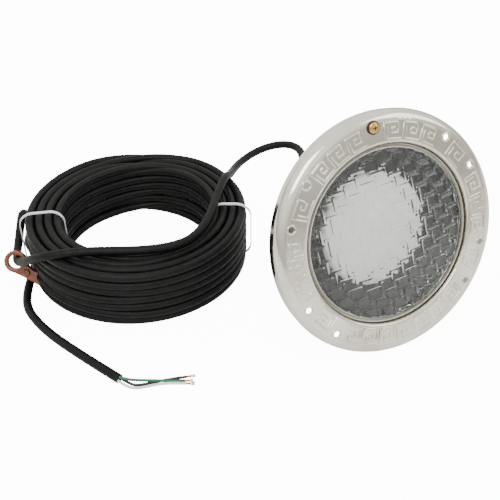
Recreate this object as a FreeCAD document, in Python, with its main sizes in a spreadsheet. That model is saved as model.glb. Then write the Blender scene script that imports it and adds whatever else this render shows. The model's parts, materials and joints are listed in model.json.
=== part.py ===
import FreeCAD, Part
import math
import os
import Sketcher
from FreeCAD import Placement, Rotation, Vector

# Underwater pool light: a domed glass lens behind a stainless face ring, a dished shell with the
# lamp and its socket, and a long three-core cord wound in a coil beside it.
# Row frame: +Z up, the lens looks along -Y and is tipped back, the floor is z = 0.
# Light frame: its z axis is the lens axis, pointing out of the lens, and z = 0 is the plane where
# the face ring is widest. y points at the pilot screw.

doc = FreeCAD.newDocument("pool_light")
sizes = doc.addObject("Spreadsheet::Sheet", "sizes")

DRIVING = {
    # how the light stands
    "tilt_back": 20.33, "roll": 4.5, "centre_y": -65.0,
    # face ring
    "ring_radius": 133.35, "ring_sheet": 1.2, "rim_round": 10.5, "rim_depth": 12.0,
    "face_level": 8.5, "opening_radius": 98.5, "lip_round": 3.0, "hem_level": 4.0,
    "pitch_radius": 118.65, "hole_radius": 3.3, "pilot_hole_radius": 4.0,
    "first_hole": 45.0, "second_hole": 67.5, "third_hole": 112.5,
    # lens and its seal
    "lens_radius": 106.4, "lens_edge": 4.5, "lens_front": 3.0, "bead_radius": 97.4,
    "dome_radius": 93.2, "dome_front": 12.0, "lens_wall": 6.0, "front_curve": 521.0,
    "rear_curve": 580.0, "seal_radius": 109.0,
    # clamp band and its bolt
    "band_radius": 112.0, "band_sheet": 1.2, "band_gap": 8.0, "lug_size": 8.0,
    "bolt_radius": 2.5, "bolt_level": -1.0, "bolt_reach": 118.5,
    # shell
    "mouth_radius": 103.0, "shell_sheet": 1.5, "flange_level": -5.0, "throat_level": -40.0,
    "rear_radius": 58.0, "cone_level": -134.0, "rear_level": -143.0, "rear_round": 9.0,
    # lamp and socket
    "lamp_radius": 63.5, "lamp_front": -12.0, "glass_wall": 1.2, "neck_radius": 19.0,
    "neck_level": -95.0, "base_radius": 13.2, "base_level": -115.0,
    "socket_radius": 21.0, "socket_front": -97.0, "socket_rear": -128.0,
    # cord gland, off the lens axis
    "gland_x": 27.0, "gland_y": 27.0, "gland_bore": 5.32, "gland_tip": -201.0,
    # pilot screw
    "pilot_radius": 3.5, "thread_radius": 3.0, "pilot_head": 5.75, "pilot_length": 50.0, "pilot_travel": 6.0,
    # cord
    "cord": 10.5, "core": 3.2, "coil_x": -205.4, "coil_y": 170.5, "coil_radius": 136.0,
    "coil_width": 44.0, "coil_height": 74.0, "coil_round": 16.0,
    "tie_width": 3.6, "tie_sheet": 1.2,
}
for row, (alias, value) in enumerate(DRIVING.items(), start=1):
    sizes.set("A%d" % row, alias)
    sizes.set("B%d" % row, str(value))
    sizes.setAlias("B%d" % row, alias)
doc.recompute()


def size(expression):
    """The value of an expression over the sheet, such as "sizes.cord / 2"."""
    if isinstance(expression, (int, float)):
        return float(expression)
    value = sizes.evalExpression(expression)
    return float(getattr(value, "Value", value))


TIP = Rotation(Vector(1, 0, 0), 90 - size("sizes.tilt_back"))
TURN = Rotation(Vector(0, 0, 1), size("sizes.roll"))
LIGHT_TURN = TIP.multiply(TURN)
# the rear edge of the ring's rim touches the floor
TILT = math.radians(size("sizes.tilt_back"))
CENTRE_HEIGHT = (size("sizes.ring_radius - 1.3") * math.cos(TILT)
                 + size("sizes.rim_depth") * math.sin(TILT))
LIGHT = Placement(Vector(0, size("sizes.centre_y"), CENTRE_HEIGHT), LIGHT_TURN)
GLAND = LIGHT.multiply(Placement(Vector(size("sizes.gland_x"), size("sizes.gland_y"), 0), Rotation()))
PILOT = LIGHT.multiply(Placement(Vector(0, size("sizes.pitch_radius"), 0), Rotation()))

parts = {}


def keep(node, piece, placement=LIGHT):
    """Name a finished sub-part and put it in its place."""
    piece.Label = node
    piece.Placement = placement.multiply(piece.Placement)
    parts[node] = piece
    return piece


def bind(piece, **expressions):
    for attribute, expression in expressions.items():
        name = attribute.replace("_", ".")
        if isinstance(expression, (int, float)):
            expression = repr(float(expression))
        piece.setExpression(name, expression)


def shift(piece, x=0, y=0, z=0):
    """Place a primitive in its parent's frame by expressions."""
    for axis, expression in zip("xyz", (x, y, z)):
        if expression != 0:
            bind(piece, **{"Placement_Base_" + axis: expression})
    return piece


# ---- turned pieces: PartDesign bodies revolved about their own z axis ----

def origin_item(body, role):
    for item in body.Origin.OriginFeatures:
        if item.Role == role:
            return item
    raise ValueError(role)


def sketch_on(body, name, plane):
    sketch = body.newObject("Sketcher::SketchObject", name)
    sketch.AttachmentSupport = [(origin_item(body, plane), "")]
    sketch.MapMode = "FlatFace"
    return sketch


def anchor(kind, geometry, point, expression):
    """A constraint that ties one coordinate of a point to the sheet, with its expression."""
    value = size(expression)
    if abs(value) < 1e-9:
        axis = -2 if kind == "DistanceX" else -1
        return Sketcher.Constraint("PointOnObject", geometry, point, axis), None
    return Sketcher.Constraint(kind, -1, 1, geometry, point, value), expression


def constrain(sketch, pairs):
    """Add the constraints at once, then bind those that have an expression."""
    first = sketch.ConstraintCount
    sketch.addConstraint([constraint for constraint, expression in pairs])
    for index, (constraint, expression) in enumerate(pairs, start=first):
        if isinstance(expression, str):
            sketch.setExpression("Constraints[%d]" % index, expression)


def outline(sketch, corners):
    """A closed outline. A corner is (x, y), or (x, y, radius, side) when the edge that arrives
    at it is an arc: side 1 bulges to the left of the way the outline runs, -1 to the right."""
    points = [Vector(size(corner[0]), size(corner[1]), 0) for corner in corners]
    count = len(corners)
    edges = []
    ends = []
    for number in range(count):
        start = points[number]
        corner = corners[(number + 1) % count]
        end = points[(number + 1) % count]
        if len(corner) == 2:
            edges.append(Part.LineSegment(start, end))
        else:
            radius = size(corner[2])
            chord = end - start
            left = Vector(-chord.y, chord.x, 0).normalize()
            rise = radius - math.sqrt(radius ** 2 - (chord.Length / 2) ** 2)
            middle = (start + end) * 0.5 + left * rise * corner[3]
            # arcs are stored counter-clockwise, so one that bulges to the left is built backwards
            if corner[3] < 0:
                edges.append(Part.ArcOfCircle(start, middle, end))
            else:
                edges.append(Part.ArcOfCircle(end, middle, start))
        ends.append((2, 1) if len(corner) == 4 and corner[3] > 0 else (1, 2))
    first = sketch.GeometryCount
    sketch.addGeometry(edges, False)
    pairs = []
    for number, corner in enumerate(corners):
        following = (number + 1) % count
        here = first + number
        pairs.append((Sketcher.Constraint("Coincident", here, ends[number][1],
                                          first + following, ends[following][0]), None))
        pairs.append(anchor("DistanceX", here, ends[number][0], corner[0]))
        pairs.append(anchor("DistanceY", here, ends[number][0], corner[1]))
        arriving = corners[following]
        if len(arriving) == 4:
            pairs.append((Sketcher.Constraint("Radius", here, size(arriving[2])), arriving[2]))
    constrain(sketch, pairs)


def turned(node, corners, placement=LIGHT):
    """A body of revolution from an outline of (radius, level) corners."""
    body = doc.addObject("PartDesign::Body", node)
    sketch = sketch_on(body, node + "_outline", "XZ_Plane")
    outline(sketch, corners)
    solid = body.newObject("PartDesign::Revolution", node + "_turn")
    solid.Profile = sketch
    solid.ReferenceAxis = (sketch, ["V_Axis"])
    solid.Angle = 360
    sketch.Visibility = False
    doc.recompute()
    return keep(node, body, placement)


def round_hole(body, name, radius, x, y):
    """A hole through a body along its z axis, both ways from its xy plane."""
    before = body.Shape.Volume
    sketch = sketch_on(body, name + "_circle", "XY_Plane")
    sketch.addGeometry(Part.Circle(Vector(size(x), size(y), 0), Vector(0, 0, 1), size(radius)), False)
    constrain(sketch, [anchor("DistanceX", 0, 3, x), anchor("DistanceY", 0, 3, y),
                       (Sketcher.Constraint("Radius", 0, size(radius)), radius)])
    hole = body.newObject("PartDesign::Pocket", name)
    hole.Profile = sketch
    hole.Type = "ThroughAll"
    hole.Midplane = True
    doc.recompute()
    if body.Shape.Volume >= before:
        raise ValueError(name + " cuts nothing")
    return hole


def repeat_round(body, name, feature, count):
    """Repeat a feature evenly round the body's z axis."""
    pattern = body.newObject("PartDesign::PolarPattern", name)
    pattern.Originals = [feature]
    pattern.Axis = (origin_item(body, "Z_Axis"), [""])
    pattern.Angle = 360
    pattern.Occurrences = count
    body.Tip = pattern
    doc.recompute()
    return pattern


def padded(body, name, corners, plane, depth):
    """A plate of the outline's shape, half its depth on each side of the plane."""
    sketch = sketch_on(body, name + "_outline", plane)
    outline(sketch, corners)
    pad = body.newObject("PartDesign::Pad", name)
    pad.Profile = sketch
    pad.Midplane = True
    pad.Length = size(depth)
    if isinstance(depth, str):
        pad.setExpression("Length", depth)
    doc.recompute()
    return pad


# ---- pieces from primitives ----

def rod(name, radius, height, x=0, y=0, z=0):
    piece = doc.addObject("Part::Cylinder", name)
    bind(piece, Radius=radius, Height=height)
    return shift(piece, x, y, z)


def block(name, length, width, height, x=0, y=0, z=0):
    piece = doc.addObject("Part::Box", name)
    bind(piece, Length=length, Width=width, Height=height)
    return shift(piece, x, y, z)


def hexagon(name, corner_radius, height, x=0, y=0, z=0):
    piece = doc.addObject("Part::Prism", name)
    piece.Polygon = 6
    bind(piece, Circumradius=corner_radius, Height=height)
    return shift(piece, x, y, z)


def joined(name, *pieces):
    piece = doc.addObject("Part::MultiFuse", name)
    piece.Shapes = list(pieces)
    return piece


def less(name, base, tool):
    piece = doc.addObject("Part::Cut", name)
    piece.Base = base
    piece.Tool = tool
    return piece


# ---- face ring: one pressed sheet, with a rolled rim, a flat face, and a hem behind its lip ----
ring = turned("face_ring", [
    ("sizes.ring_radius - 1.3", "-sizes.rim_depth"),
    ("sizes.ring_radius", -2.0),
    ("sizes.ring_radius - sizes.rim_round", "sizes.face_level", "sizes.rim_round", -1),
    ("sizes.opening_radius + sizes.lip_round", "sizes.face_level"),
    ("sizes.opening_radius", "sizes.face_level - sizes.lip_round", "sizes.lip_round", -1),
    ("sizes.opening_radius", "sizes.hem_level"),
    ("sizes.seal_radius - 0.1", "sizes.hem_level"),
    ("sizes.seal_radius - 0.1", "sizes.hem_level + sizes.ring_sheet"),
    ("sizes.opening_radius + sizes.ring_sheet", "sizes.hem_level + sizes.ring_sheet"),
    ("sizes.opening_radius + sizes.ring_sheet", "sizes.face_level - sizes.lip_round"),
    ("sizes.opening_radius + sizes.lip_round", "sizes.face_level - sizes.ring_sheet",
     "sizes.lip_round - sizes.ring_sheet", 1),
    ("sizes.ring_radius - sizes.rim_round", "sizes.face_level - sizes.ring_sheet"),
    ("sizes.ring_radius - sizes.ring_sheet", -2.0, "sizes.rim_round - sizes.ring_sheet", 1),
    ("sizes.ring_radius - 1.3 - sizes.ring_sheet", "-sizes.rim_depth"),
])
round_hole(ring, "pilot_hole", "sizes.pilot_hole_radius", 0, "sizes.pitch_radius")
for name, angle, count in (("quarter_holes", "first_hole", 4), ("side_holes", "second_hole", 2),
                           ("lower_side_holes", "third_hole", 2)):
    across = "sizes.pitch_radius * sin(sizes.%s * 1 deg)" % angle
    up = "sizes.pitch_radius * cos(sizes.%s * 1 deg)" % angle
    first = round_hole(ring, name, "sizes.hole_radius", across, up)
    repeat_round(ring, name + "_round", first, count)

# ---- lens: a thick domed disc with a bead round it and a flat edge for the seal ----
turned("lens", [
    ("sizes.lens_radius", "sizes.lens_front - sizes.lens_edge"),
    ("sizes.lens_radius", "sizes.lens_front"),
    ("sizes.bead_radius", "sizes.lens_front"),
    ("sizes.bead_radius", "sizes.lens_front + 1.5"),
    ("sizes.dome_radius + 1", "sizes.lens_front + 1.5"),
    ("sizes.dome_radius", "sizes.lens_front + 0.6"),
    (3, "sizes.dome_front", "sizes.front_curve", -1), (0, "sizes.dome_front"),
    (0, "sizes.dome_front - sizes.lens_wall"), (3, "sizes.dome_front - sizes.lens_wall"),
    ("sizes.dome_radius - 0.2", "sizes.lens_front - sizes.lens_edge", "sizes.rear_curve", 1),
])
turned("lens_gasket", [
    ("sizes.opening_radius + 1.5", "sizes.lens_front + 0.05"),
    ("sizes.lens_radius + 0.1", "sizes.lens_front + 0.05"),
    ("sizes.lens_radius + 0.1", "sizes.lens_front - sizes.lens_edge - 0.05"),
    ("sizes.opening_radius + 3", "sizes.lens_front - sizes.lens_edge - 0.05"),
    ("sizes.opening_radius + 3", "sizes.flange_level + 0.05"),
    ("sizes.seal_radius", "sizes.flange_level + 0.05"),
    ("sizes.seal_radius", "sizes.hem_level - 0.05"),
    ("sizes.opening_radius + 1.5", "sizes.hem_level - 0.05"),
])

# ---- clamp band: a split channel that pulls the ring's hem, the seal and the shell together ----
hook_front = "sizes.hem_level + sizes.ring_sheet + 0.1"
hook_rear = "sizes.flange_level - sizes.shell_sheet - 0.1"
band = turned("clamp_band", [
    ("sizes.band_radius", hook_rear + " - sizes.band_sheet"),
    ("sizes.band_radius", hook_front + " + sizes.band_sheet"),
    ("sizes.seal_radius - 2.5", hook_front + " + sizes.band_sheet"),
    ("sizes.seal_radius - 2.5", hook_front),
    ("sizes.band_radius - sizes.band_sheet", hook_front),
    ("sizes.band_radius - sizes.band_sheet", hook_rear),
    ("sizes.seal_radius - 4", hook_rear),
    ("sizes.seal_radius - 4", hook_rear + " - sizes.band_sheet"),
])
gap = sketch_on(band, "band_gap_outline", "XY_Plane")
outline(gap, [
    ("-sizes.band_gap / 2", "-sizes.band_radius - 3"),
    ("sizes.band_gap / 2", "-sizes.band_radius - 3"),
    ("sizes.band_gap / 2", "-sizes.seal_radius + 8"),
    ("-sizes.band_gap / 2", "-sizes.seal_radius + 8"),
])
whole = band.Shape.Volume
split = band.newObject("PartDesign::Pocket", "band_gap_cut")
split.Profile = gap
split.Type = "ThroughAll"
split.Midplane = True
doc.recompute()
if band.Shape.Volume >= whole:
    raise ValueError("the band's gap cuts nothing")

BOLT_AXIS = Placement(Vector(0, 0, 0), Rotation(Vector(0, 1, 0), 90))


def along_bolt(name, radius, length, start):
    """A rod on the clamp bolt's axis, which runs across below the band."""
    piece = rod(name, radius, length, start, "-sizes.bolt_reach", "sizes.bolt_level")
    piece.Placement.Rotation = BOLT_AXIS.Rotation
    return piece


for node, near in (("clamp_saddle", "-sizes.band_gap / 2 - sizes.lug_size - 0.5"),
                   ("clamp_trunnion", "sizes.band_gap / 2 + 0.5")):
    lug = block(node + "_block", "sizes.lug_size", "sizes.lug_size + 4.3", "sizes.lug_size + 2",
                near, "-sizes.bolt_reach - 5", "sizes.bolt_level - 5")
    bore = along_bolt(node + "_bore", "sizes.bolt_radius + 0.06", "sizes.lug_size + 2", near + " - 1")
    keep(node, less(node + "_piece", lug, bore))
shank = along_bolt("bolt_shank", "sizes.bolt_radius", 36, -13)
bolt_head = hexagon("bolt_head", 4.6, 3.6, -16.5, "-sizes.bolt_reach", "sizes.bolt_level")
bolt_head.Placement.Rotation = BOLT_AXIS.Rotation
keep("clamp_bolt", joined("clamp_bolt_piece", shank, bolt_head))

# ---- shell: a dished can with a flange for the clamp ----
shell = turned("shell", [
    (0, "sizes.rear_level"),
    ("sizes.rear_radius - sizes.rear_round + 1", "sizes.rear_level"),
    ("sizes.rear_radius", "sizes.cone_level", "sizes.rear_round + 1", -1),
    ("sizes.mouth_radius", "sizes.throat_level"),
    ("sizes.mouth_radius", "sizes.flange_level - sizes.shell_sheet"),
    ("sizes.seal_radius", "sizes.flange_level - sizes.shell_sheet"),
    ("sizes.seal_radius", "sizes.flange_level"),
    ("sizes.mouth_radius - sizes.shell_sheet", "sizes.flange_level"),
    ("sizes.mouth_radius - sizes.shell_sheet", "sizes.throat_level + 0.3"),
    ("sizes.rear_radius - sizes.shell_sheet", "sizes.cone_level + 0.3"),
    ("sizes.rear_radius - sizes.rear_round + 1", "sizes.rear_level + sizes.shell_sheet",
     "sizes.rear_round", 1),
    (0, "sizes.rear_level + sizes.shell_sheet"),
])
round_hole(shell, "gland_hole", "sizes.gland_bore + 4.78", "sizes.gland_x", "sizes.gland_y")

# ---- lamp: a blown reflector bulb with its screw base and filament ----
turned("lamp_glass", [
    (3, "sizes.lamp_front", 226, -1),
    (0, "sizes.lamp_front"),
    (0, "sizes.lamp_front - sizes.glass_wall"),
    (3, "sizes.lamp_front - sizes.glass_wall"),
    ("sizes.lamp_radius - 4.6", "sizes.lamp_front - 9.6", 218, 1),
    ("sizes.lamp_radius - sizes.glass_wall", "sizes.lamp_front - 14", 5.2, 1),
    ("sizes.lamp_radius - 4.8", "sizes.lamp_front - 23.4", 20, 1),
    ("sizes.neck_radius + 1.8", "sizes.neck_level + 11"),
    ("sizes.neck_radius - sizes.glass_wall", "sizes.neck_level + 0.5", 14, -1),
    ("sizes.neck_radius", "sizes.neck_level"),
    ("sizes.neck_radius + 3", "sizes.neck_level + 11.6", 14, 1),
    ("sizes.lamp_radius - 3.6", "sizes.lamp_front - 24"),
    ("sizes.lamp_radius", "sizes.lamp_front - 14", 21, -1),
    ("sizes.lamp_radius - 4", "sizes.lamp_front - 8.4", 6.4, -1),
])
turned("lamp_base", [
    (0, "sizes.neck_level - 0.05"),
    ("sizes.neck_radius - 1.5", "sizes.neck_level - 0.05"),
    ("sizes.base_radius", "sizes.neck_level - 1.5"),
    ("sizes.base_radius", "sizes.base_level"),
    (7, "sizes.base_level - 1.6"),
    (4.5, "sizes.base_level - 3"),
    (0, "sizes.base_level - 3"),
])
posts = [rod("filament_post_%d" % side, 0.9, 46, 9 * side, 0, "sizes.neck_level + 0.2") for side in (-1, 1)]
coil_bar = rod("filament_bar", 1.6, 18, -9, 0, "sizes.neck_level + 46")
coil_bar.Placement.Rotation = BOLT_AXIS.Rotation
keep("lamp_filament", joined("filament_piece", coil_bar, *posts))

# ---- socket and what holds it ----
turned("socket_body", [
    ("sizes.base_radius + 1.2", "sizes.socket_front"),
    ("sizes.socket_radius", "sizes.socket_front - 1"),
    ("sizes.socket_radius", "sizes.socket_rear"),
    (0, "sizes.socket_rear"),
    (0, "sizes.socket_rear + 4"),
    ("sizes.base_radius + 1.2", "sizes.socket_rear + 4"),
])
turned("socket_screw_shell", [
    ("sizes.base_radius + 0.3", "sizes.socket_front - 1"),
    ("sizes.base_radius + 1.1", "sizes.socket_front - 1"),
    ("sizes.base_radius + 1.1", "sizes.socket_front - 20"),
    ("sizes.base_radius + 0.3", "sizes.socket_front - 20"),
])
tongue = block("contact_tongue", 12, 6, 0.8, -4, -3, "sizes.base_level - 4.1")
foot = block("contact_foot", 0.8, 6, 5.2, 7.2, -3, "sizes.socket_rear + 4.05")
keep("socket_contact", joined("contact_piece", tongue, foot))

floor_level = "sizes.rear_level + sizes.shell_sheet + 0.05"
# the bracket and the screws stand on a diagonal, clear of the cord gland
DIAGONAL = LIGHT.multiply(Placement(Vector(0, 0, 0), Rotation(Vector(0, 0, 1), -45)))
bracket = doc.addObject("PartDesign::Body", "socket_bracket")
padded(bracket, "bracket_strap", [
    (-40, floor_level), (-26, floor_level), (-24, "sizes.socket_rear - 1.55"),
    (24, "sizes.socket_rear - 1.55"), (26, floor_level), (40, floor_level),
    (40, floor_level + " + 1.5"), (27, floor_level + " + 1.5"), (25, "sizes.socket_rear - 0.05"),
    (-25, "sizes.socket_rear - 0.05"), (-27, floor_level + " + 1.5"), (-40, floor_level + " + 1.5"),
], "XZ_Plane", 18)
for side in (-1, 1):
    round_hole(bracket, "bracket_hole_%s" % ("left" if side < 0 else "right"), 2.1,
               34 * side, 0)
keep("socket_bracket", bracket, DIAGONAL)
screws = []
for side in (-1, 1):
    name = "left" if side < 0 else "right"
    screws.append(rod("bracket_screw_head_" + name, 4, 2.4, 34 * side, 0, floor_level + " + 1.55"))
    screws.append(rod("bracket_screw_shank_" + name, 2, 1.7, 34 * side, 0, floor_level))
keep("bracket_screws", joined("bracket_screws_piece", *screws), DIAGONAL)

# ---- thermal cut-out and ground lug on the shell's floor ----
button = rod("cutout_can", 7.5, 6, -38, 6, floor_level)
plate = block("cutout_plate", 8, 22, 1, -42, -5, floor_level)
blades = [block("cutout_blade_%d" % side, 0.8, 5, 6, -38.4 + 4 * side, 3.5, floor_level + " + 6")
          for side in (-1, 1)]
keep("thermal_cutout", joined("cutout_piece", button, plate, *blades))
lug = less("ground_lug_piece", block("lug_block", 12, 9, 7, -30, -36, floor_level),
           rod("lug_bore", 2.1, 4.5, -24, -31.5, floor_level + " + 3"))
keep("ground_lug", lug)
keep("ground_screw", joined("ground_screw_piece",
                            rod("ground_screw_shank", 2, 4, -24, -31.5, floor_level + " + 3.1"),
                            hexagon("ground_screw_head", 4.2, 2.6, -24, -31.5, floor_level + " + 7.1")))

# ---- cord gland ----
bore = "sizes.gland_bore"
turned("gland_body", [
    (bore, "sizes.rear_level - 17"),
    ("sizes.gland_bore + 4.6", "sizes.rear_level - 17"),
    ("sizes.gland_bore + 4.6", "sizes.rear_level - 4"),
    ("sizes.gland_bore + 10", "sizes.rear_level - 4"),
    ("sizes.gland_bore + 10", "sizes.rear_level - 0.05"),
    ("sizes.gland_bore + 4.6", "sizes.rear_level - 0.05"),
    ("sizes.gland_bore + 4.6", "sizes.rear_level + 9"),
    (bore, "sizes.rear_level + 9"),
], GLAND)
locknut = less("gland_locknut_piece", hexagon("locknut_hexagon", 12.6, 4.5, 0, 0, floor_level),
               rod("locknut_bore", "sizes.gland_bore + 4.65", 6, 0, 0, floor_level + " - 0.5"))
keep("gland_locknut", locknut, GLAND)
cap = hexagon("nut_hexagon", 15.4, 25, 0, 0, "sizes.rear_level - 33")
chamber = rod("nut_chamber", "sizes.gland_bore + 4.7", 23, 0, 0, "sizes.rear_level - 29")
throat = rod("nut_throat", "sizes.gland_bore + 0.9", 8, 0, 0, "sizes.rear_level - 35")
keep("gland_nut", less("gland_nut_piece", cap, joined("nut_inside", chamber, throat)), GLAND)
turned("gland_seal", [
    (bore, "sizes.rear_level - 28.9"), ("sizes.gland_bore + 4.6", "sizes.rear_level - 28.9"),
    ("sizes.gland_bore + 4.6", "sizes.rear_level - 17.1"), (bore, "sizes.rear_level - 17.1"),
], GLAND)
turned("strain_relief", [
    (bore, "sizes.gland_tip"), ("sizes.gland_bore + 1.1", "sizes.gland_tip"),
    ("sizes.gland_bore + 4.2", "sizes.rear_level - 36"),
    ("sizes.gland_bore + 4.2", "sizes.rear_level - 33.1"), (bore, "sizes.rear_level - 33.1"),
], GLAND)
turned("cord_entry", [
    (0, "sizes.gland_tip"), ("sizes.cord / 2", "sizes.gland_tip"),
    ("sizes.cord / 2", "sizes.rear_level + 14"), (0, "sizes.rear_level + 14"),
], GLAND)

# ---- pilot screw, captive in the ring ----
head_level = "sizes.face_level + 1.2"
pilot = turned("pilot_screw", [
    (0, head_level + " - sizes.pilot_length"),
    ("sizes.thread_radius - 0.9", head_level + " - sizes.pilot_length"),
    ("sizes.thread_radius", head_level + " - sizes.pilot_length + 1.2"),
    ("sizes.thread_radius", "-2.0"),
    ("sizes.pilot_radius", "-2.0"),
    ("sizes.pilot_radius", head_level),
    ("sizes.pilot_head", head_level),
    ("sizes.pilot_head", head_level + " + 1.4"),
    (1.2, head_level + " + 3.6", 8.6, -1),
    (0, head_level + " + 3.6"),
], PILOT)
cross = sketch_on(pilot, "recess_outline", "XY_Plane")
cross.AttachmentOffset = Placement(Vector(0, 0, size(head_level + " + 3.6")), Rotation())
outline(cross, [(-0.6, -3.1), (0.6, -3.1), (0.6, -0.6), (3.1, -0.6), (3.1, 0.6), (0.6, 0.6),
                (0.6, 3.1), (-0.6, 3.1), (-0.6, 0.6), (-3.1, 0.6), (-3.1, -0.6), (-0.6, -0.6)])
recess = pilot.newObject("PartDesign::Pocket", "cross_recess")
recess.Profile = cross
recess.Length = 2.4
recess.TaperAngle = -8
doc.recompute()
turned("pilot_gum_washer", [
    ("sizes.pilot_radius + 0.06", "sizes.face_level + 0.1"),
    ("sizes.pilot_head + 1.5", "sizes.face_level + 0.1"),
    ("sizes.pilot_head + 1.5", head_level + " - 0.1"),
    ("sizes.pilot_radius + 0.06", head_level + " - 0.1"),
], PILOT)
stop_level = "sizes.face_level - sizes.ring_sheet - sizes.pilot_travel - 0.3"
turned("pilot_retainer", [
    ("sizes.pilot_radius + 0.06", stop_level + " - 2"), (6.2, stop_level + " - 2"),
    (6.2, stop_level), ("sizes.pilot_radius + 0.06", stop_level),
], PILOT)


# ---- cord: straight runs joined by tangent arcs ----

def smooth_path(points, name):
    """A wire along the points, each corner an arc as large as its two runs allow."""
    corners = [Vector(*point) for point in points]
    edges = []
    length = 0.0
    start = corners[0]
    radii = []
    for before, corner, after in zip(corners, corners[1:], corners[2:]):
        arriving = (corner - before)
        leaving = (after - corner)
        turn = arriving.getAngle(leaving)
        shorter = min(arriving.Length, leaving.Length)
        setback = 0.45 * shorter
        radius = setback / math.tan(turn / 2)
        radii.append(radius)
        enter = corner - arriving.normalize() * setback
        leave = corner + leaving.normalize() * setback
        inward = (enter + leave) * 0.5 - corner
        if inward.Length < 1e-3:
            raise ValueError(name + " has three points in line")
        sagitta = math.hypot(radius, setback) - radius
        middle = corner + inward.normalize() * sagitta
        edges.append(Part.LineSegment(start, enter).toShape())
        edges.append(Part.Arc(enter, middle, leave).toShape())
        length += (enter - start).Length + radius * turn
        start = leave
    edges.append(Part.LineSegment(start, corners[-1]).toShape())
    length += (corners[-1] - start).Length
    print("%s: %.0f mm long, arcs %s mm" % (name, length, " ".join("%.0f" % value for value in radii)))
    return Part.Wire(edges), length


def tube(node, points, diameter):
    """A round tube along a path, swept from a circle bound to the sheet."""
    wire, length = smooth_path(points, node)
    route = doc.addObject("Part::Feature", node + "_route")
    route.Shape = wire
    circle = doc.addObject("Part::Circle", node + "_circle")
    bind(circle, Radius=diameter + " / 2")
    heading = Vector(*points[1]) - Vector(*points[0])
    circle.Placement = Placement(Vector(*points[0]), Rotation(Vector(0, 0, 1), heading))
    sweep = doc.addObject("Part::Sweep", node)
    sweep.Sections = [circle]
    sweep.Spine = (route, ["Edge%d" % number for number in range(1, len(wire.Edges) + 1)])
    sweep.Solid = True
    sweep.Frenet = False
    doc.recompute()
    expected = math.pi * (size(diameter) / 2) ** 2 * length
    ratio = sweep.Shape.Volume / expected
    print("%s: volume over section times length %.4f" % (node, ratio))
    if abs(ratio - 1) > 0.01:
        raise ValueError(node + " tube has the wrong volume")
    return keep(node, sweep, Placement())


exit_point = GLAND.multVec(Vector(0, 0, size("sizes.gland_tip")))
exit_way = LIGHT_TURN.multVec(Vector(0, 0, -1))
second_point = exit_point + exit_way * 24
print("cord exit", exit_point, "heading", exit_way)

# from the gland, in the air behind the light, over the coil's right side, across its middle, over
# its left side, through the wedge's eye, back up beside the coil and round a fold into it
LEAD_ROUTE = [
    tuple(exit_point), tuple(second_point),
    (35.6, 188.5, 71.5), (44.6, 214.5, 71), (38.6, 239.5, 67), (18.1, 255.5, 60), (-7.9, 256.5, 54),
    (-34.4, 241.5, 54), (-55.0, 217.5, 61), (-70.2, 193, 72), (-83.8, 175.5, 83), (-92.6, 164.4, 84),
    (-114.3, 135.3, 83), (-133.5, 107.1, 82.5), (-154.7, 83.5, 82), (-176.7, 69.5, 82), (-205, 68.9, 82),
    (-238.3, 78.3, 82), (-272, 93.9, 82), (-300.7, 104.5, 82), (-325.9, 114.2, 79), (-341.5, 130.2, 68),
    (-352.4, 153.5, 50), (-357.4, 176.5, 34), (-354.4, 199.5, 28), (-347.4, 219.5, 31), (-339.4, 239.5, 40),
    (-332.4, 256.5, 48), (-325.9, 266, 39), (-323.9, 262.5, 25), (-327.9, 249.5, 20), (-334.4, 231.5, 22),
    (-335.4, 216.5, 24), (-333.4, 200.5, 26), (-330.4, 185.5, 27),
]
tube("cord_lead", LEAD_ROUTE, "sizes.cord")

# out of the coil's bottom turn, round in a bend on the floor, to the stripped end
TAIL_ROUTE = [
    (-322.4, 221.5, 5.3), (-335.4, 201.5, 5.3), (-344.4, 178.5, 5.3), (-355.4, 153.5, 5.3),
    (-362.4, 124.5, 5.3), (-357.4, 95.5, 5.3), (-346.4, 64.5, 5.3), (-331.4, 33.5, 5.3), (-315.4, 2.5, 5.3),
    (-297.9, -30, 5.3),
]
tube("cord_tail", TAIL_ROUTE, "sizes.cord")

# ---- coil: the outer shape of the wound turns ----
COIL = Placement(Vector(size("sizes.coil_x"), size("sizes.coil_y"), 0), Rotation())
inner = "sizes.coil_radius - sizes.coil_width"
turned("cord_coil", [
    (inner + " + sizes.coil_round", 0, "sizes.coil_round", -1),
    ("sizes.coil_radius - sizes.coil_round", 0),
    ("sizes.coil_radius", "sizes.coil_round", "sizes.coil_round", -1),
    ("sizes.coil_radius", "sizes.coil_height - sizes.coil_round"),
    ("sizes.coil_radius - sizes.coil_round", "sizes.coil_height", "sizes.coil_round", -1),
    (inner + " + sizes.coil_round", "sizes.coil_height"),
    (inner, "sizes.coil_height - sizes.coil_round", "sizes.coil_round", -1),
    (inner, "sizes.coil_round"),
], COIL)


# ---- ties round the coil ----

def loop_corners(near, far, low, high, corner):
    """A rectangle with round corners, between two radii and two levels."""
    return [
        ("%s + %s" % (near, corner), low, corner, -1), ("%s - %s" % (far, corner), low),
        (far, "%s + %s" % (low, corner), corner, -1), (far, "%s - %s" % (high, corner)),
        ("%s - %s" % (far, corner), high, corner, -1), ("%s + %s" % (near, corner), high),
        (near, "%s - %s" % (high, corner), corner, -1), (near, "%s + %s" % (low, corner)),
    ]


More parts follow.
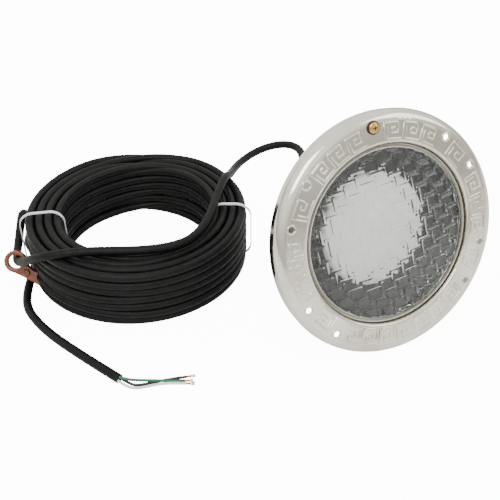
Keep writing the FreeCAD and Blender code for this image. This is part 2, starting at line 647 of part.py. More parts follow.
def tie(node, angle, slack):
    """A flat nylon tie round the coil's section, with its locking head on the inner side."""
    body = doc.addObject("PartDesign::Body", node)
    sketch = sketch_on(body, node + "_outline", "XZ_Plane")
    near = "(%s - 0.3 - %s)" % (inner, slack / 2)
    far = "(sizes.coil_radius + 0.3 + %s)" % slack
    high = "(sizes.coil_height + 0.2 + %s)" % slack
    strap = "sizes.tie_sheet"
    ring_corners = loop_corners("(%s - %s)" % (near, strap), "(%s + %s)" % (far, strap), "0.1",
                                "(%s + %s)" % (high, strap), "(sizes.coil_round + %s)" % strap)
    hole_corners = loop_corners(near, far, "(0.1 + %s)" % strap, high, "sizes.coil_round")
    for corners in (ring_corners, hole_corners):
        outline(sketch, corners)
    band_pad = body.newObject("PartDesign::Pad", node + "_band")
    band_pad.Profile = sketch
    band_pad.Midplane = True
    bind(band_pad, Length="sizes.tie_width")
    doc.recompute()
    head = sketch_on(body, node + "_head_outline", "XZ_Plane")
    outline(head, [(near + " - 5.2", 24), (near + " - 0.6", 24), (near + " - 0.6", 30),
                   (near + " - 5.2", 30)])
    head_pad = body.newObject("PartDesign::Pad", node + "_head")
    head_pad.Profile = head
    head_pad.Midplane = True
    bind(head_pad, Length="sizes.tie_width + 2.4")
    doc.recompute()
    keep(node, body, COIL.multiply(Placement(Vector(), Rotation(Vector(0, 0, 1), angle))))


tie("tie_left", 165, 5.0)
tie("tie_right", -25, 0.0)

# ---- rubber wedge threaded on the cord: an eye, a thick body that tapers, and a boss ----
WEDGE_ACROSS = Vector(0.922, -0.387, -0.022)
WEDGE_UP = Vector(0.217, 0.472, 0.851)
WEDGE = Placement(Vector(-358.6, 182.5, 31.5),
                  Rotation(WEDGE_ACROSS, WEDGE_UP, WEDGE_ACROSS.cross(WEDGE_UP), "ZXY"))
wedge = doc.addObject("PartDesign::Body", "cord_wedge")


def disc_pad(body, name, radius, depth, x=0, y=0):
    sketch = sketch_on(body, name + "_circle", "XY_Plane")
    sketch.addGeometry(Part.Circle(Vector(x, y, 0), Vector(0, 0, 1), radius), False)
    constrain(sketch, [anchor("DistanceX", 0, 3, x), anchor("DistanceY", 0, 3, y),
                       (Sketcher.Constraint("Radius", 0, radius), None)])
    pad = body.newObject("PartDesign::Pad", name)
    pad.Profile = sketch
    pad.Midplane = True
    pad.Length = depth
    doc.recompute()


disc_pad(wedge, "wedge_ring", 13.5, 8)
padded(wedge, "wedge_body", [(-9, -10), (9, -18.5), (29, -30), (38, -26, 12, -1), (36, -16.5),
                             (23, -11.5), (13, -3)], "XY_Plane", 9)
disc_pad(wedge, "wedge_boss", 4, 13, 13.5, -13.5)
round_hole(wedge, "wedge_eye", "sizes.cord / 2 + 3.15", 0, 0)
round_hole(wedge, "wedge_pin_hole", "sizes.cord / 10", 13.5, -13.5)
keep("cord_wedge", wedge, WEDGE)

# ---- stripped conductors and their bare ends ----
CONDUCTOR_ROUTES = {
    "conductor_black": [(-295.9, -29.1, 4.4), (-289.9, -38.5, 2.6), (-282.4, -44, 1.6),
                        (-269.8, -45.9, 1.6), (-251.4, -48.9, 1.6), (-230.4, -54, 1.6)],
    "conductor_white": [(-299.8, -30.9, 4.4), (-293.9, -42, 2.6), (-282.4, -48.5, 1.6),
                        (-264.4, -50.4, 1.6), (-248.4, -55.7, 1.6), (-234.4, -62.8, 1.6)],
    "conductor_green": [(-297.8, -29.9, 7.8), (-289.9, -36.5, 6.8), (-279.4, -41, 5.6),
                        (-268.4, -46, 5.2), (-256.4, -49.9, 3.2), (-244.9, -54.1, 1.6),
                        (-234.4, -58.5, 1.6)],
}
strands = []
for node, points in CONDUCTOR_ROUTES.items():
    tube(node, points, "sizes.core")
    way = (Vector(*points[-1]) - Vector(*points[-2])).normalize()
    strand = rod(node + "_strand", "sizes.core / 4", 9)
    strand.Placement = Placement(Vector(*points[-1]), Rotation(Vector(0, 0, 1), way))
    strands.append(strand)
keep("copper_ends", joined("copper_ends_piece", *strands), Placement())

# ---- wires inside the shell, from the cord's inner end to the terminals ----
INSIDE_ROUTES = {
    "wire_black": [(24.9, 28.4, -128.9), (22, 34, -121), (8, 40, -114), (-12, 37, -113),
                   (-29, 26, -117), (-34, 13, -123), (-34.4, 6, -129.3)],
    "wire_white": [(29.2, 28.2, -128.9), (34, 22, -121), (37, 8, -115), (36, -6, -113),
                   (30, -14, -114.5), (22.8, -17.5, -119)],
    "wire_green": [(27, 24.4, -128.9), (31, 15, -123), (35, -4, -122), (29, -24, -123),
                   (14, -36, -127), (-4, -36, -133), (-17.8, -31.5, -137)],
}
for node, points in INSIDE_ROUTES.items():
    tube(node, points, "sizes.core")
    parts[node].Placement = LIGHT

# ---- checks, then one STEP file for each sub-part ----
doc.recompute()
for item in doc.Objects:
    if "Invalid" in item.State or "Error" in item.State:
        raise ValueError("%s failed: %s" % (item.Name, item.State))
for node, piece in parts.items():
    if piece.Shape.isNull() or not piece.Shape.isValid() or not piece.Shape.Solids:
        raise ValueError(node + " has no valid shape")
os.makedirs("parts", exist_ok=True)
for node, piece in parts.items():
    piece.Shape.exportStep("parts/%s.step" % node)
print(len(parts), "parts written")
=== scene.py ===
import json
import math
import random

import bpy
from mathutils import Matrix, Vector


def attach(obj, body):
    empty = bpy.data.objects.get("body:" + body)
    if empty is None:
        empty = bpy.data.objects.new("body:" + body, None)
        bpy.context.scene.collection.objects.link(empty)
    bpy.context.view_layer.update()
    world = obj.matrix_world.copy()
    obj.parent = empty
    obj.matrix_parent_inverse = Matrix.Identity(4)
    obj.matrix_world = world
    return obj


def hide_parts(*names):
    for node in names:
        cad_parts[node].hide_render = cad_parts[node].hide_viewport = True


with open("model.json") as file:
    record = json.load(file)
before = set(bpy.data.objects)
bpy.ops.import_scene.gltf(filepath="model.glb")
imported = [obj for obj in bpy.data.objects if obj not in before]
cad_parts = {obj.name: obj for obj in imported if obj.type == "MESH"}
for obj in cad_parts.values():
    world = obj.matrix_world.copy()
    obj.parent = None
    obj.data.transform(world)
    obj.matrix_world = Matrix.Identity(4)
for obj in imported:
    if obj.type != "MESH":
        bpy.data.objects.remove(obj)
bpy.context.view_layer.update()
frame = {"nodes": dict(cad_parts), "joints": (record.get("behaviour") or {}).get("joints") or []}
nodes = frame["nodes"]
rng = random.Random(7)
collection = bpy.context.scene.collection

# the light's own axes, from its joints: right, up to the pilot screw, and out of the lens
jointOf = {joint["name"]: joint for joint in frame["joints"]}
outward = Vector(jointOf["pilot_slide"]["axis"])
right = Vector(jointOf["clamp_bolt_turn"]["axis"])
upward = outward.cross(right)
ring = {"pitch": 0.11865, "face": 0.0085, "opening": 0.0985, "outer": 0.13335,
        "holes": (45, 67.5, 112.5, 135, 225, 247.5, 292.5, 315), "holeRadius": 0.0033}
centre = Vector(jointOf["pilot_turn"]["pos_m"]) - ring["pitch"] * upward
lightFrame = Matrix.Translation(centre) @ Matrix((right, upward, outward)).transposed().to_4x4()


def fromLight(x, y, z):
    return lightFrame @ Vector((x, y, z))


# shader groups and the material maker

def shaderGroup(name, inputs, outputs):
    tree = bpy.data.node_groups.new(name, "ShaderNodeTree")
    for label, kind, value in inputs:
        tree.interface.new_socket(label, in_out="INPUT", socket_type=kind).default_value = value
    for label, kind in outputs:
        tree.interface.new_socket(label, in_out="OUTPUT", socket_type=kind)
    return tree, tree.nodes.new("NodeGroupInput"), tree.nodes.new("NodeGroupOutput")


# Soft patches between two values.
def mottleGroup():
    tree, given, result = shaderGroup(
        "mottle",
        [("Scale", "NodeSocketFloat", 60.0), ("Low", "NodeSocketFloat", 0.0), ("High", "NodeSocketFloat", 1.0)],
        [("Value", "NodeSocketFloat")])
    place = tree.nodes.new("ShaderNodeTexCoord")
    noise = tree.nodes.new("ShaderNodeTexNoise")
    noise.inputs["Detail"].default_value = 5.0
    spread = tree.nodes.new("ShaderNodeMapRange")
    spread.inputs["From Min"].default_value = 0.3
    spread.inputs["From Max"].default_value = 0.7
    tree.links.new(place.outputs["Object"], noise.inputs["Vector"])
    tree.links.new(given.outputs["Scale"], noise.inputs["Scale"])
    tree.links.new(noise.outputs["Fac"], spread.inputs["Value"])
    tree.links.new(given.outputs["Low"], spread.inputs["To Min"])
    tree.links.new(given.outputs["High"], spread.inputs["To Max"])
    tree.links.new(spread.outputs["Result"], result.inputs["Value"])
    return tree


mottle = mottleGroup()


def patches(tree, scale, low, high):
    node = tree.nodes.new("ShaderNodeGroup")
    node.node_tree = mottle
    node.inputs["Scale"].default_value = scale
    node.inputs["Low"].default_value = low
    node.inputs["High"].default_value = high
    return node.outputs["Value"]


# A material whose colour drifts from light to dark in patches, with a fine grain in its bump.
def finish(name, light, dark, roughness, metallic=0.0, patch=60.0, grain=1500.0, depth=0.00003, **sockets):
    made = bpy.data.materials.new(name)
    made.use_nodes = True
    tree = made.node_tree
    shader = tree.nodes["Principled BSDF"]
    mix = tree.nodes.new("ShaderNodeMix")
    mix.data_type = "RGBA"
    mix.inputs["A"].default_value = (*dark, 1.0)
    mix.inputs["B"].default_value = (*light, 1.0)
    tree.links.new(patches(tree, patch, 0.0, 1.0), mix.inputs["Factor"])
    tree.links.new(mix.outputs["Result"], shader.inputs["Base Color"])
    tree.links.new(patches(tree, patch * 3, roughness[0], roughness[1]), shader.inputs["Roughness"])
    bump = tree.nodes.new("ShaderNodeBump")
    bump.inputs["Distance"].default_value = depth
    tree.links.new(patches(tree, grain, 0.0, 1.0), bump.inputs["Height"])
    tree.links.new(bump.outputs["Normal"], shader.inputs["Normal"])
    shader.inputs["Metallic"].default_value = metallic
    for label, value in sockets.items():
        shader.inputs[label.replace("_", " ")].default_value = value
    return made


def node(material, kind, **inputs):
    made = material.node_tree.nodes.new(kind)
    for label, value in inputs.items():
        made.inputs[label.replace("_", " ")].default_value = value
    return made


ringSteel = finish("ringSteel", (0.77, 0.74, 0.65), (0.56, 0.53, 0.44), (0.08, 0.16), 1.0,
                   patch=18.0, grain=300.0, depth=0.00002)
bandSteel = finish("bandSteel", (0.62, 0.62, 0.60), (0.5, 0.5, 0.48), (0.2, 0.35), 1.0)
zincSteel = finish("zincSteel", (0.7, 0.71, 0.73), (0.55, 0.56, 0.6), (0.3, 0.45), 1.0)
brass = finish("brass", (0.60, 0.40, 0.15), (0.40, 0.25, 0.08), (0.2, 0.4), 1.0, patch=300.0)
tungsten = finish("tungsten", (0.4, 0.4, 0.42), (0.3, 0.3, 0.32), (0.3, 0.5), 1.0)
ceramic = finish("ceramic", (0.9, 0.89, 0.85), (0.82, 0.8, 0.75), (0.15, 0.25), Coat_Weight=0.4)
cutoutCase = finish("cutoutCase", (0.06, 0.06, 0.07), (0.03, 0.03, 0.03), (0.3, 0.45))
sealRubber = finish("sealRubber", (0.035, 0.033, 0.03), (0.015, 0.015, 0.015), (0.45, 0.65))
jacket = finish("jacket", (0.006, 0.006, 0.0065), (0.002, 0.002, 0.002), (0.4, 0.55), patch=90.0,
                grain=900.0, depth=0.00005, Specular_IOR_Level=0.16)
nylon = finish("nylon", (0.86, 0.86, 0.86), (0.72, 0.73, 0.75), (0.35, 0.5), Subsurface_Weight=0.15)
blackSleeve = finish("blackSleeve", (0.02, 0.02, 0.02), (0.01, 0.01, 0.01), (0.25, 0.4))
whiteSleeve = finish("whiteSleeve", (0.85, 0.85, 0.83), (0.72, 0.72, 0.7), (0.25, 0.4))
greenSleeve = finish("greenSleeve", (0.015, 0.16, 0.07), (0.008, 0.09, 0.04), (0.25, 0.4))
copper = finish("copper", (0.80, 0.40, 0.22), (0.55, 0.24, 0.12), (0.25, 0.4), 1.0, patch=900.0)
amber = finish("amber", (0.24, 0.055, 0.007), (0.09, 0.016, 0.004), (0.15, 0.3), patch=70.0,
               Subsurface_Weight=0.25, Subsurface_Scale=0.004, Coat_Weight=0.3)
frosted = finish("frosted", (0.80, 0.81, 0.77), (0.70, 0.71, 0.68), (0.4, 0.6), patch=40.0)


# Satin steel outside; inside, faces turned towards the shell's middle are darkened to 0.10 as painted shade for
# the shadowed hollow of the shell.
def shellSteelPaintedShade():
    made = finish("shellSteelPaintedShade", (0.56, 0.56, 0.55), (0.46, 0.46, 0.45), (0.25, 0.4), 1.0)
    tree = made.node_tree
    shader = tree.nodes["Principled BSDF"]
    # mask for the painted shade: faces that look towards a point 6 cm behind the lens
    geometry = node(made, "ShaderNodeNewGeometry")
    middle = fromLight(0, 0, -0.06)
    offset = node(made, "ShaderNodeVectorMath")
    offset.operation = "SUBTRACT"
    offset.inputs[1].default_value = middle
    facing = node(made, "ShaderNodeVectorMath")
    facing.operation = "DOT_PRODUCT"
    inside = node(made, "ShaderNodeMath")
    inside.operation = "LESS_THAN"
    inside.inputs[1].default_value = 0.0
    tree.links.new(geometry.outputs["Position"], offset.inputs[0])
    tree.links.new(offset.outputs["Vector"], facing.inputs[0])
    tree.links.new(geometry.outputs["True Normal"], facing.inputs[1])
    tree.links.new(facing.outputs["Value"], inside.inputs[0])
    mix = node(made, "ShaderNodeMix")
    mix.data_type = "RGBA"
    # painted shade: this dark grey stands for the shadow inside the shell
    mix.inputs["B"].default_value = (0.10, 0.10, 0.10, 1.0)
    tree.links.new(inside.outputs["Value"], mix.inputs["Factor"])
    tree.links.new(shader.inputs["Base Color"].links[0].from_socket, mix.inputs["A"])
    tree.links.new(mix.outputs["Result"], shader.inputs["Base Color"])
    return made


# Clear pressed glass. Light for the lamp behind it passes straight through.
def lensGlass():
    made = finish("lensGlass", (0.96, 0.98, 0.97), (0.90, 0.93, 0.91), (0.0, 0.04), patch=25.0,
                  grain=400.0, depth=0.00001, Transmission_Weight=1.0, IOR=1.5)
    tree = made.node_tree
    path = node(made, "ShaderNodeLightPath")
    solid = node(made, "ShaderNodeMath")
    solid.operation = "SUBTRACT"
    solid.inputs[0].default_value = 1.0
    tree.links.new(path.outputs["Is Shadow Ray"], solid.inputs[1])
    tree.links.new(solid.outputs["Value"], tree.nodes["Principled BSDF"].inputs["Alpha"])
    return made


lens = lensGlass()
# The lens rim is tinted dark olive-brown, partly for the brown of the rubber at the lens edge and partly as
# painted shade in that band.
rimGlassTintAndShade = finish("rimGlassTintAndShade", (0.30, 0.28, 0.20), (0.20, 0.18, 0.12), (0.1, 0.25), patch=25.0,
                  Transmission_Weight=0.5, IOR=1.5)
agedBrass = finish("agedBrass", (0.20, 0.15, 0.08), (0.12, 0.09, 0.05), (0.35, 0.5), 1.0, patch=300.0)
coats = {
    "face_ring": ringSteel, "clamp_band": bandSteel, "clamp_saddle": bandSteel, "clamp_trunnion": bandSteel,
    "clamp_bolt": bandSteel, "pilot_retainer": bandSteel, "shell": shellSteelPaintedShade(),
    "lens_gasket": sealRubber, "gland_seal": sealRubber, "pilot_gum_washer": sealRubber,
    "lamp_glass": frosted, "lamp_base": agedBrass, "socket_screw_shell": agedBrass, "socket_contact": brass,
    "ground_lug": agedBrass, "gland_body": brass, "gland_locknut": agedBrass, "gland_nut": brass,
    "pilot_screw": brass, "lamp_filament": tungsten, "socket_body": ceramic, "socket_bracket": zincSteel,
    "bracket_screws": zincSteel, "ground_screw": zincSteel, "thermal_cutout": cutoutCase,
    "cord_entry": jacket, "strain_relief": jacket, "tie_left": nylon,
    "wire_black": blackSleeve, "wire_white": whiteSleeve, "wire_green": greenSleeve,
}
for name, coat in coats.items():
    nodes[name].data.materials.clear()
    nodes[name].data.materials.append(coat)
print("materials done")


# pieces from curves and meshes

# A round curve of one or more open splines through the given row-frame points.
def addCurve(name, coat, radius, splines, kind="NURBS", resolution=6):
    data = bpy.data.curves.new(name, "CURVE")
    data.dimensions = "3D"
    data.bevel_depth = radius
    data.bevel_resolution = 5
    data.resolution_u = resolution
    data.use_fill_caps = True
    for points in splines:
        spline = data.splines.new(kind)
        spline.points.add(len(points) - 1)
        for point, place in zip(spline.points, points):
            point.co = (*place, 1.0)
        if kind == "NURBS":
            spline.order_u = 3
            spline.use_endpoint_u = True
        spline.use_smooth = True
    data.materials.append(coat)
    piece = bpy.data.objects.new(name, data)
    collection.objects.link(piece)
    return piece


def addMesh(name, vertices, faces, coat, smooth=True):
    data = bpy.data.meshes.new(name)
    data.from_pydata([tuple(v) for v in vertices], [], faces)
    data.validate()
    if smooth:
        data.shade_smooth()
    data.materials.append(coat)
    piece = bpy.data.objects.new(name, data)
    collection.objects.link(piece)
    return piece


# Apply a piece's modifiers.
def settled(piece):
    graph = bpy.context.evaluated_depsgraph_get()
    piece.data = bpy.data.meshes.new_from_object(piece.evaluated_get(graph))
    piece.modifiers.clear()
    return piece


# lens: a domed disc of clear glass, its face pressed in a basket weave
weave = {"unit": 0.0072, "length": 0.0152, "depth": 0.0015, "width": 0.0009, "lift": 0.0008, "fade": 0.0028,
         "step": 0.00076, "reach": 0.0932, "front": 0.012, "back": 0.0055, "frontCurve": 0.521,
         "backCurve": 0.580, "shift": (0.0025, 0.001)}


# How far a place is from the nearest stroke along u, and from which side. Strokes lie a knight's move apart.
def nearestStroke(u, v):
    along = round((2 * u + v) / 5)
    across = round((2 * v - u) / 5)
    best = 9.0
    side = 0.0
    half = weave["length"] / weave["unit"] / 2 - 0.1
    for m in (along - 1, along, along + 1):
        for n in (across - 1, across, across + 1):
            du = u - (2 * m - n)
            dv = v - (m + 2 * n)
            gap = math.hypot(max(0.0, abs(du) - half), dv)
            if gap < best:
                best = gap
                side = max(-1.0, min(1.0, dv * 4)) * max(0.0, 1 - (du / (half + 0.6)) ** 4)
    return best * weave["unit"], side


# The relief of the straps: grooves where one passes under the next, and a rise beside each.
def weaveHeight(x, y):
    u = (x + weave["shift"][0]) / weave["unit"]
    v = (y + weave["shift"][1]) / weave["unit"]
    height = 0.0
    for gap, side in (nearestStroke(u, v), nearestStroke(v - 0.5, -(u + 1.5))):
        height -= weave["depth"] * math.exp(-(gap / weave["width"]) ** 2)
        height += weave["lift"] * side * math.exp(-gap / weave["fade"])
    return height - weave["lift"]


def lensMesh():
    step = weave["step"]
    count = int(weave["reach"] / step) + 2
    reach = weave["reach"]
    near = {}
    vertices = []

    def corner(i, j):
        if (i, j) not in near:
            x = i * step
            y = j * step
            away = math.hypot(x, y)
            if away > reach:
                x *= reach / away
                y *= reach / away
                away = reach
            dome = weave["front"] - away ** 2 / (2 * weave["frontCurve"])
            relief = weaveHeight(x, y) * min(1.0, max(0.0, (reach - away) / 0.003))
            near[(i, j)] = len(vertices)
            vertices.append((x, y, dome + relief))
        return near[(i, j)]

    faces = []
    for i in range(-count, count):
        for j in range(-count, count):
            corners = ((i, j), (i + 1, j), (i + 1, j + 1), (i, j + 1))
            if any(math.hypot(a * step, b * step) < reach for a, b in corners):
                faces.append([corner(a, b) for a, b in corners])
    total = len(vertices)
    for x, y, z in list(vertices):
        vertices.append((x, y, weave["back"] - (x * x + y * y) / (2 * weave["backCurve"])))
    used = {}
    for face in faces:
        for a, b in zip(face, face[1:] + face[:1]):
            used[(a, b)] = True
    walls = [(b, a, a + total, b + total) for a, b in used if (b, a) not in used]
    backs = [[total + number for number in reversed(face)] for face in faces]
    return vertices, faces + backs + walls


lensVertices, lensFaces = lensMesh()
lensFace = addMesh("lensFace", [lightFrame @ Vector(v) for v in lensVertices], lensFaces, lens)
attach(lensFace, "light")


# A ring turned about the lens axis from (radius, level) corners.
def turnedMesh(name, outline, coat, sides=192):
    vertices = []
    faces = []
    count = len(outline)
    for side in range(sides):
        angle = 2 * math.pi * side / sides
        for radius, level in outline:
            vertices.append(fromLight(radius * math.sin(angle), radius * math.cos(angle), level))
    for side in range(sides):
        here = side * count
        there = ((side + 1) % sides) * count
        for number in range(count):
            following = (number + 1) % count
            faces.append((here + number, here + following, there + following, there + number))
    return addMesh(name, vertices, faces, coat)


lensRim = turnedMesh("lensRim", [(0.09325, 0.0034), (0.0937, 0.0038), (0.0946, 0.0040), (0.0962, 0.0040),
                                 (0.0972, 0.0037), (0.0975, 0.0031), (0.1064, 0.003), (0.1064, -0.0015),
                                 (0.09325, -0.0020)], rimGlassTintAndShade)
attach(lensRim, "light")
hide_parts("lens")
print("lens done")

# embossed key pattern, borders of the holes, and fine lines round the face
key = {"low": 0.1035, "level": 0.0042, "height": 0.0011, "unit": 11.2,
       "spans": ((5.5, 40.5), (49.5, 63.5), (72, 108), (117, 130.5), (139.5, 220.5), (229.5, 243),
                 (252, 288), (297, 310.5), (319.5, 354.5))}
hook = [(0.06, 0), (0.06, 4), (0.78, 4), (0.78, 1.4), (0.46, 1.4), (0.46, 2.7), (0.62, 2.7)]
answer = [(0.22, 2.9), (0.22, 0), (0.98, 0)]


# A point on the face ring, its angle in degrees from the pilot screw, clockwise from the front.
def onFace(angle, radius, rise=0.0):
    turn = math.radians(angle)
    return fromLight(radius * math.sin(turn), radius * math.cos(turn), ring["face"] + rise)


# A polyline of the pattern, with extra points where it follows the ring round.
def keyRun(start, unit, steps):
    places = []
    for (t0, r0), (t1, r1) in zip(steps, steps[1:]):
        pieces = 6 if t0 != t1 else 2
        for number in range(pieces):
            part = number / pieces
            places.append((t0 + (t1 - t0) * part, r0 + (r1 - r0) * part))
    places.append(steps[-1])
    return [onFace(start + t * unit, key["low"] + r * key["level"], -0.0001) for t, r in places]


ridges = []
for low, high in key["spans"]:
    count = max(1, round((high - low) / key["unit"]))
    unit = (high - low) / count
    for number in range(count):
        start = low + number * unit
        for steps in (hook, answer):
            ridges.append(keyRun(start, unit, steps))
for angle in ring["holes"]:
    middle = onFace(angle, ring["pitch"])
    border = []
    for number in range(25):
        turn = 2 * math.pi * number / 24
        border.append(middle + 0.0046 * (right * math.cos(turn) + upward * math.sin(turn)) - outward * 0.0002)
    ridges.append(border)
relief = addCurve("keyRelief", ringSteel, key["height"], ridges, kind="POLY")
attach(relief, "light")
lines = [[onFace(number * 2.5, radius, -0.00012) for number in range(145)] for radius in (0.1017, 0.1222)]
faceLines = addCurve("faceLines", ringSteel, 0.0003, lines, kind="POLY")
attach(faceLines, "light")
print("relief done")

# cord wedge: the moulded rubber, its edges rounded
wedgeSoft = bpy.data.objects.new("wedgeSoft", nodes["cord_wedge"].data.copy())
wedgeSoft.matrix_world = nodes["cord_wedge"].matrix_world
collection.objects.link(wedgeSoft)
remesh = wedgeSoft.modifiers.new("remesh", "REMESH")
remesh.mode = "VOXEL"
remesh.voxel_size = 0.0009
smooth = wedgeSoft.modifiers.new("smooth", "SMOOTH")
smooth.factor = 0.5
smooth.iterations = 8
bpy.context.view_layer.update()
settled(wedgeSoft)
wedgeSoft.data.shade_smooth()
wedgeSoft.data.materials.clear()
wedgeSoft.data.materials.append(amber)
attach(wedgeSoft, "light")
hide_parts("cord_wedge")

# cord: lead, coil and tail are one spline
cord = {"radius": 0.00525, "length": 15.24, "exit": (0.0248, 0.1336, 0.0854)}
leadRoute = [
    (0.0248, 0.1336, 0.0854), (0.0248, 0.1561, 0.0770), (0.0356, 0.1885, 0.0715), (0.0446, 0.2145, 0.071),
    (0.0386, 0.2395, 0.067), (0.0181, 0.2555, 0.060), (-0.0079, 0.2565, 0.054), (-0.0344, 0.2415, 0.054),
    (-0.055, 0.2175, 0.061), (-0.0702, 0.193, 0.072), (-0.0838, 0.1755, 0.083), (-0.0926, 0.1644, 0.084),
    (-0.1143, 0.1353, 0.083), (-0.1335, 0.1071, 0.0825), (-0.1547, 0.0835, 0.082), (-0.1767, 0.0695, 0.082),
    (-0.205, 0.0689, 0.082), (-0.2383, 0.0783, 0.082), (-0.272, 0.0939, 0.082), (-0.3007, 0.1045, 0.082),
    (-0.3259, 0.1142, 0.079), (-0.3415, 0.1302, 0.068), (-0.3524, 0.1535, 0.050), (-0.3574, 0.1765, 0.034),
    (-0.3544, 0.1995, 0.028), (-0.3474, 0.2195, 0.031), (-0.3394, 0.2395, 0.040), (-0.3324, 0.2565, 0.048),
    (-0.3259, 0.266, 0.039), (-0.3239, 0.2625, 0.025), (-0.3279, 0.2495, 0.020), (-0.3344, 0.2315, 0.022),
    (-0.3354, 0.2165, 0.024), (-0.3334, 0.2005, 0.026),
]
tailRoute = [
    (-0.3444, 0.1785, 0.0053), (-0.3554, 0.1535, 0.0053), (-0.3624, 0.1245, 0.0053),
    (-0.3574, 0.0955, 0.0053), (-0.3464, 0.0645, 0.0053), (-0.3314, 0.0335, 0.0053), (-0.3154, 0.0025, 0.0053),
    (-0.2979, -0.03, 0.0053),
]
coil = {"x": -0.2054, "y": 0.1705, "inner": 0.092, "outer": 0.136, "perTurn": 16,
        # each turn's place in the section: its column from the inside and its row from the floor
        "places": [(3, 2), (3, 3), (3, 4), (3, 5), (3, 6), (2, 6), (2, 5), (1, 5), (1, 6), (0, 6),
                   (0, 5), (0, 4), (0, 3), (0, 2), (0, 1), (0, 0), (1, 0), (2, 0), (3, 1), (3, 0)],
        "first": 186.0, "crossing": 25.0, "crossingWidth": 75.0,
        "column": 0.01085, "row": 0.0106, "floor": 0.0053, "sway": 0.0011, "rise": 0.0012}


# Radius and height of a turn in the coil's section.
def turnPlace(column, row):
    shift = 0.0022 if row % 2 else -0.0006
    radius = coil["inner"] + cord["radius"] + column * coil["column"] + shift * (1 if column < 3 else 0.3)
    return radius, coil["floor"] + row * coil["row"]


# The turns, counter-clockwise from above. A turn changes place where the strands cross, at the back.
def coilRoute():
    points = []
    step = 360.0 / coil["perTurn"]
    wander = [(rng.uniform(0, 360), rng.uniform(0, 360)) for place in coil["places"]]
    # a quadratic spline runs inside its points by this share
    inside = (3 + math.cos(math.radians(step))) / 4
    total = len(coil["places"]) * coil["perTurn"]
    for number in range(total):
        turned = number * step
        angle = coil["first"] + turned
        # turns are counted from the crossing
        since = turned + coil["first"] - coil["crossing"] - 360
        turn = math.floor(since / 360) + 1
        blend = min(1.0, (since - 360 * math.floor(since / 360)) / coil["crossingWidth"])
        blend = blend * blend * (3 - 2 * blend)
        before = turnPlace(*coil["places"][max(0, min(turn - 1, len(coil["places"]) - 1))])
        after = turnPlace(*coil["places"][max(0, min(turn, len(coil["places"]) - 1))])
        phase = wander[max(0, min(turn, len(coil["places"]) - 1))]
        radius = before[0] + (after[0] - before[0]) * blend
        height = before[1] + (after[1] - before[1]) * blend
        twice = math.sin(math.radians(2 * angle + phase[0]))
        radius += coil["sway"] * twice * math.sin(math.radians(angle + phase[1]))
        height += coil["rise"] * max(0.0, math.sin(math.radians(3 * angle + phase[1]))) * min(1.0, height / 0.02)
        reach = radius / inside
        points.append((coil["x"] + reach * math.cos(math.radians(angle)),
                       coil["y"] + reach * math.sin(math.radians(angle)), height))
    return points


cordPiece = addCurve("cord", jacket, cord["radius"], [leadRoute + coilRoute() + tailRoute])
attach(cordPiece, "light")
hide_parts("cord_lead", "cord_coil", "cord_tail")

# right tie: opened a little round the loose turns
tie = nodes["tie_right"]
tieFit = {"across": 1.17, "high": 1.06, "middle": 0.114}
hub = Vector((coil["x"], coil["y"], 0.0))
tieCorners = []
for corner in tie.data.vertices:
    place = tie.matrix_world @ corner.co - hub
    reach = math.hypot(place.x, place.y)
    stretch = (tieFit["middle"] + (reach - tieFit["middle"]) * tieFit["across"]) / reach
    tieCorners.append(hub + Vector((place.x * stretch, place.y * stretch, place.z * tieFit["high"])))
tieRight = addMesh("tieRight", tieCorners, [list(face.vertices) for face in tie.data.polygons], nylon,
                   smooth=False)
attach(tieRight, "light")
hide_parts("tie_right")

# stripped conductors and their bare strands
conductors = {
    "Black": (blackSleeve, [(-0.2959, -0.0291, 0.0044), (-0.2899, -0.0385, 0.0026), (-0.2824, -0.044, 0.0016),
                            (-0.2698, -0.0459, 0.0016), (-0.2514, -0.0489, 0.0016), (-0.2304, -0.054, 0.0016)]),
    "White": (whiteSleeve, [(-0.2998, -0.0309, 0.0044), (-0.2939, -0.042, 0.0026), (-0.2824, -0.0485, 0.0016),
                            (-0.2644, -0.0504, 0.0016), (-0.2484, -0.0557, 0.0016), (-0.2344, -0.0628, 0.0016)]),
    "Green": (greenSleeve, [(-0.2978, -0.0299, 0.0078), (-0.2899, -0.0365, 0.0068), (-0.2794, -0.041, 0.0056),
                            (-0.2684, -0.046, 0.0052), (-0.2564, -0.0499, 0.0032), (-0.2449, -0.0541, 0.0016),
                            (-0.2344, -0.0585, 0.0016)]),
}
strand = {"radius": 0.00035, "length": 0.0095, "count": 7}
strandRuns = []
for colour, (coat, route) in conductors.items():
    core = addCurve("conductor" + colour, coat, 0.0016, [route], resolution=12)
    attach(core, "light")
    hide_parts("conductor_" + colour.lower())
    end = Vector(route[-1])
    way = (end - Vector(route[-2])).normalized()
    across = Vector((-way.y, way.x, 0))
    for number in range(strand["count"]):
        turn = 2 * math.pi * number / strand["count"]
        side = across * math.cos(turn) * 0.0008
        rise = Vector((0, 0, math.sin(turn) * 0.0008))
        fan = across * math.cos(turn) * 0.0013
        start = end - way * 0.002 + side + rise
        middle = end + way * strand["length"] * 0.5 + side * 1.1 + rise
        tip = end + way * strand["length"] * rng.uniform(0.85, 1.05) + side + fan + rise * 0.6
        tip.z = max(tip.z, strand["radius"] + 0.0001)
        strandRuns.append([start, middle, tip])
strands = addCurve("copperStrands", copper, strand["radius"], strandRuns)
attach(strands, "light")
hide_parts("copper_ends")

print("cords done")

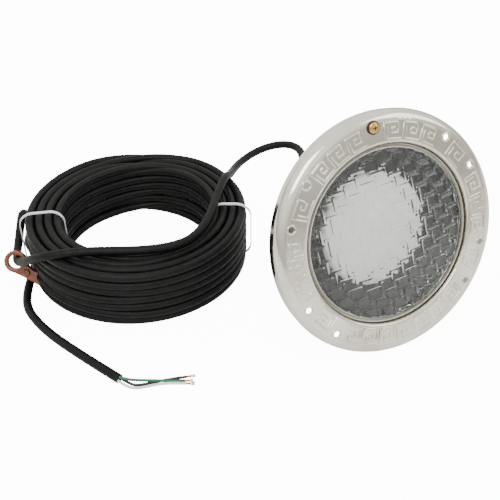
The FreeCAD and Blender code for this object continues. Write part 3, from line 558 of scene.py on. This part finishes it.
# floor, lights and camera
floorSize = 8.0
floorPaint = finish("floorPaint", (0.93, 0.93, 0.93), (0.92, 0.92, 0.92), (0.8, 0.9), patch=2.0)
floorPath = node(floorPaint, "ShaderNodeLightPath")
floorShader = floorPaint.node_tree.nodes["Principled BSDF"]
floorShader.inputs["Emission Strength"].default_value = 12.0
floorPaint.node_tree.links.new(floorPath.outputs["Is Camera Ray"], floorShader.inputs["Emission Color"])
floor = addMesh("floor", [(-floorSize, -floorSize, -0.0002), (floorSize, -floorSize, -0.0002),
                          (floorSize, floorSize, -0.0002), (-floorSize, floorSize, -0.0002)],
                [(0, 1, 2, 3)], floorPaint)

world = bpy.data.worlds.new("studio")
world.use_nodes = True
skyTree = world.node_tree
skyPlace = skyTree.nodes.new("ShaderNodeTexCoord")
skyAxes = skyTree.nodes.new("ShaderNodeSeparateXYZ")
skyRise = skyTree.nodes.new("ShaderNodeMapRange")
skyRise.inputs["From Min"].default_value = 0.02
skyRise.inputs["From Max"].default_value = 0.45
skyRise.inputs["To Min"].default_value = 0.72
skyRise.inputs["To Max"].default_value = 1.7
skyTree.links.new(skyPlace.outputs["Generated"], skyAxes.inputs["Vector"])
skyTree.links.new(skyAxes.outputs["Z"], skyRise.inputs["Value"])
skyTree.links.new(skyRise.outputs["Result"], skyTree.nodes["Background"].inputs["Strength"])
skyTree.nodes["Background"].inputs["Color"].default_value = (1.0, 0.99, 0.95, 1.0)
bpy.context.scene.world = world


def softBox(name, place, aim, width, power):
    lamp = bpy.data.lights.new(name, "AREA")
    lamp.shape = "SQUARE"
    lamp.size = width
    lamp.energy = power
    holder = bpy.data.objects.new(name, lamp)
    holder.location = place
    holder.rotation_euler = (Vector(aim) - Vector(place)).to_track_quat("-Z", "Y").to_euler()
    collection.objects.link(holder)


softBox("keyLight", (-0.9, -0.7, 1.6), (-0.1, 0.05, 0.05), 0.9, 14.0)
softBox("fillLight", (1.2, -0.9, 1.2), (-0.1, 0.05, 0.05), 1.0, 8.0)

camera = bpy.data.objects.new("camera", bpy.data.cameras.new("camera"))
camera.data.lens = 57.5
camera.location = (-0.418, -0.6209, 0.6381)
camera.rotation_euler = Vector((0.3312, 0.7150, -0.6157)).to_track_quat("-Z", "Y").to_euler()
collection.objects.link(camera)
bpy.context.scene.camera = camera
